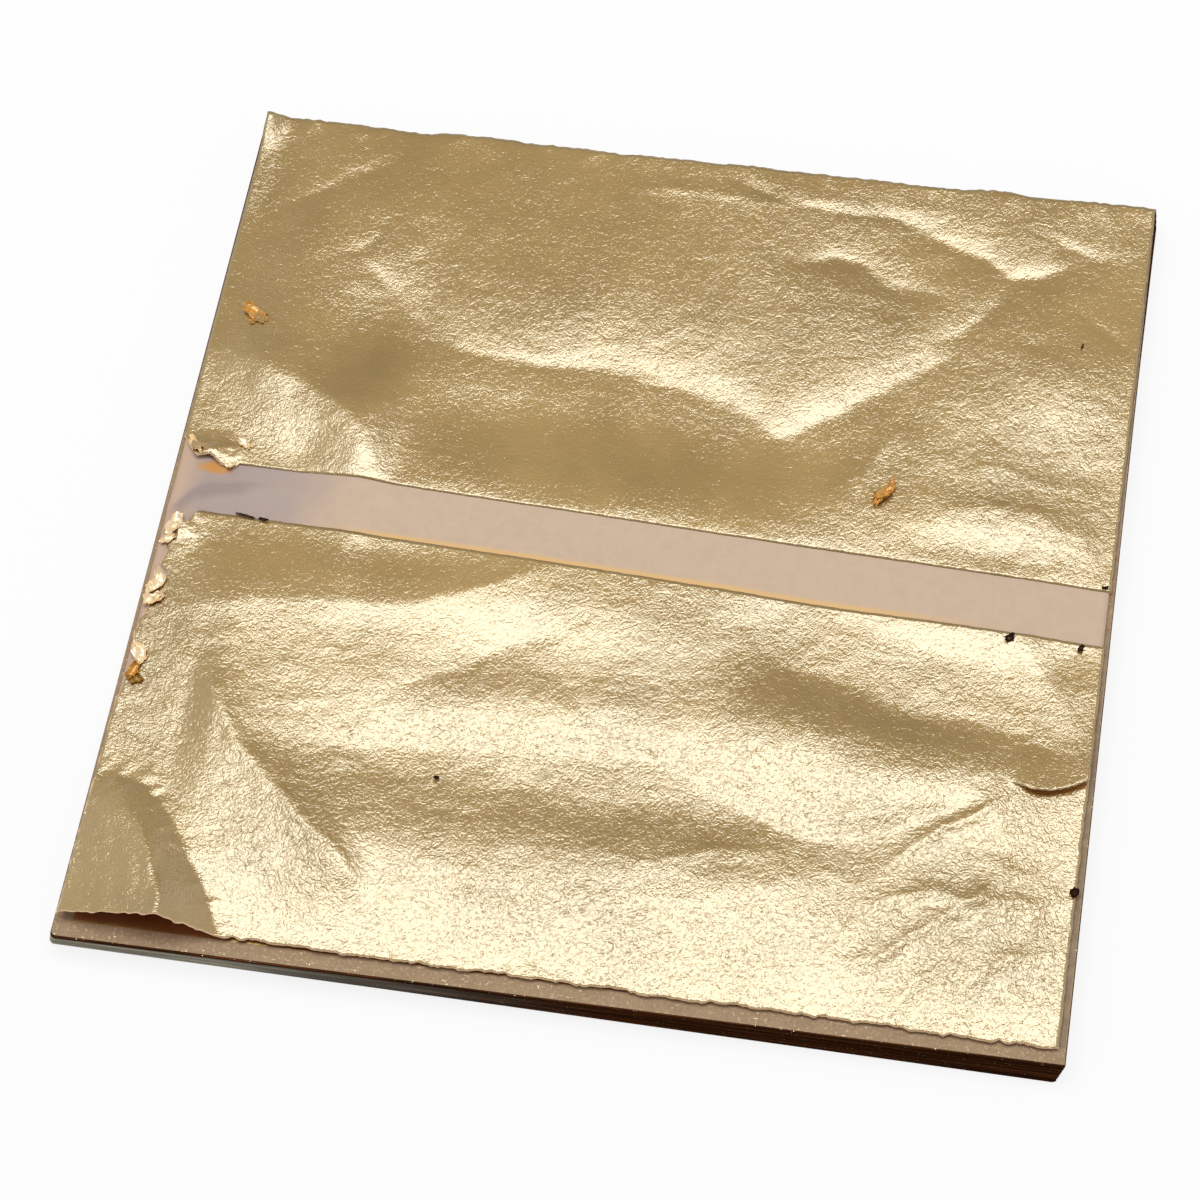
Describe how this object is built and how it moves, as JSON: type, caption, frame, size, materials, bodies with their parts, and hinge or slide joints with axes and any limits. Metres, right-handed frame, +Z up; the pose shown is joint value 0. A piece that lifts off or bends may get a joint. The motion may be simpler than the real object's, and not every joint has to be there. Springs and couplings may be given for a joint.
{
  "type": "pack of metal leaf sheets",
  "caption": "Loose square pack of metal leaf for gilding: each sheet of paper carries a leaf in two halves, with a bare strip between them, and the top sheet's near left corner is lifted.",
  "frame": {"origin": "middle of the pack's underside, at the height of the surface that it lies on", "axes": "+X to the right, +Y from the near edge to the far edge, +Z up through the pages"},
  "size_m": [0.1429, 0.1438, 0.0094],
  "materials": {
    "metal_leaf": "thin beaten leaf, crinkled, bright",
    "pale_tissue": "thin smooth tissue, slightly see-through",
    "interleaf_paper": "thin matt paper with stray specks of leaf"
  },
  "bodies": {
    "page_001": {"top_tissue": "pale_tissue", "top_leaf_far_half": "metal_leaf", "top_leaf_near_half": "metal_leaf", "loose_flakes": "metal_leaf"},
    "page_002": {"interleaf_002": "interleaf_paper", "leaf_far_half_002": "metal_leaf", "leaf_near_half_002": "metal_leaf"},
    "page_003": {"interleaf_003": "interleaf_paper", "leaf_far_half_003": "metal_leaf", "leaf_near_half_003": "metal_leaf"},
    "page_004": {"interleaf_004": "interleaf_paper", "leaf_far_half_004": "metal_leaf", "leaf_near_half_004": "metal_leaf"},
    "page_005": {"interleaf_005": "interleaf_paper", "leaf_far_half_005": "metal_leaf", "leaf_near_half_005": "metal_leaf"},
    "page_006": {"interleaf_006": "interleaf_paper", "leaf_far_half_006": "metal_leaf", "leaf_near_half_006": "metal_leaf"},
    "page_007": {"interleaf_007": "interleaf_paper", "leaf_far_half_007": "metal_leaf", "leaf_near_half_007": "metal_leaf"},
    "page_008": {"interleaf_008": "interleaf_paper", "leaf_far_half_008": "metal_leaf", "leaf_near_half_008": "metal_leaf"},
    "page_009": {"interleaf_009": "interleaf_paper", "leaf_far_half_009": "metal_leaf", "leaf_near_half_009": "metal_leaf"},
    "page_010": {"interleaf_010": "interleaf_paper", "leaf_far_half_010": "metal_leaf", "leaf_near_half_010": "metal_leaf"},
    "page_011": {"interleaf_011": "interleaf_paper", "leaf_far_half_011": "metal_leaf", "leaf_near_half_011": "metal_leaf"},
    "page_012": {"interleaf_012": "interleaf_paper", "leaf_far_half_012": "metal_leaf", "leaf_near_half_012": "metal_leaf"},
    "pack": {"interleaves_013_to_020": "interleaf_paper", "interleaves_021_to_028": "interleaf_paper", "interleaves_029_to_036": "interleaf_paper", "interleaves_037_to_044": "interleaf_paper", "interleaves_045_to_052": "interleaf_paper", "interleaves_053_to_060": "interleaf_paper", "interleaves_061_to_068": "interleaf_paper", "interleaves_069_to_076": "interleaf_paper", "interleaves_077_to_084": "interleaf_paper", "interleaves_085_to_092": "interleaf_paper", "interleaves_093_to_100": "interleaf_paper", "leaves_013_to_020": "metal_leaf", "leaves_021_to_028": "metal_leaf", "leaves_029_to_036": "metal_leaf", "leaves_037_to_044": "metal_leaf", "leaves_045_to_052": "metal_leaf", "leaves_053_to_060": "metal_leaf", "leaves_061_to_068": "metal_leaf", "leaves_069_to_076": "metal_leaf", "leaves_077_to_084": "metal_leaf", "leaves_085_to_092": "metal_leaf", "leaves_093_to_100": "metal_leaf"}
  },
  "joints": [
    {"name": "lift_page_001", "type": "slide", "parent": "page_002", "child": "page_001", "axis": [0, 0, 1], "range_m": [0, 0.012]},
    {"name": "lift_page_002", "type": "slide", "parent": "page_003", "child": "page_002", "axis": [0, 0, 1], "range_m": [0, 0.012]},
    {"name": "lift_page_003", "type": "slide", "parent": "page_004", "child": "page_003", "axis": [0, 0, 1], "range_m": [0, 0.012]},
    {"name": "lift_page_004", "type": "slide", "parent": "page_005", "child": "page_004", "axis": [0, 0, 1], "range_m": [0, 0.012]},
    {"name": "lift_page_005", "type": "slide", "parent": "page_006", "child": "page_005", "axis": [0, 0, 1], "range_m": [0, 0.012]},
    {"name": "lift_page_006", "type": "slide", "parent": "page_007", "child": "page_006", "axis": [0, 0, 1], "range_m": [0, 0.012]},
    {"name": "lift_page_007", "type": "slide", "parent": "page_008", "child": "page_007", "axis": [0, 0, 1], "range_m": [0, 0.012]},
    {"name": "lift_page_008", "type": "slide", "parent": "page_009", "child": "page_008", "axis": [0, 0, 1], "range_m": [0, 0.012]},
    {"name": "lift_page_009", "type": "slide", "parent": "page_010", "child": "page_009", "axis": [0, 0, 1], "range_m": [0, 0.012]},
    {"name": "lift_page_010", "type": "slide", "parent": "page_011", "child": "page_010", "axis": [0, 0, 1], "range_m": [0, 0.012]},
    {"name": "lift_page_011", "type": "slide", "parent": "page_012", "child": "page_011", "axis": [0, 0, 1], "range_m": [0, 0.012]},
    {"name": "lift_page_012", "type": "slide", "parent": "pack", "child": "page_012", "axis": [0, 0, 1], "range_m": [0, 0.012]}
  ]
}
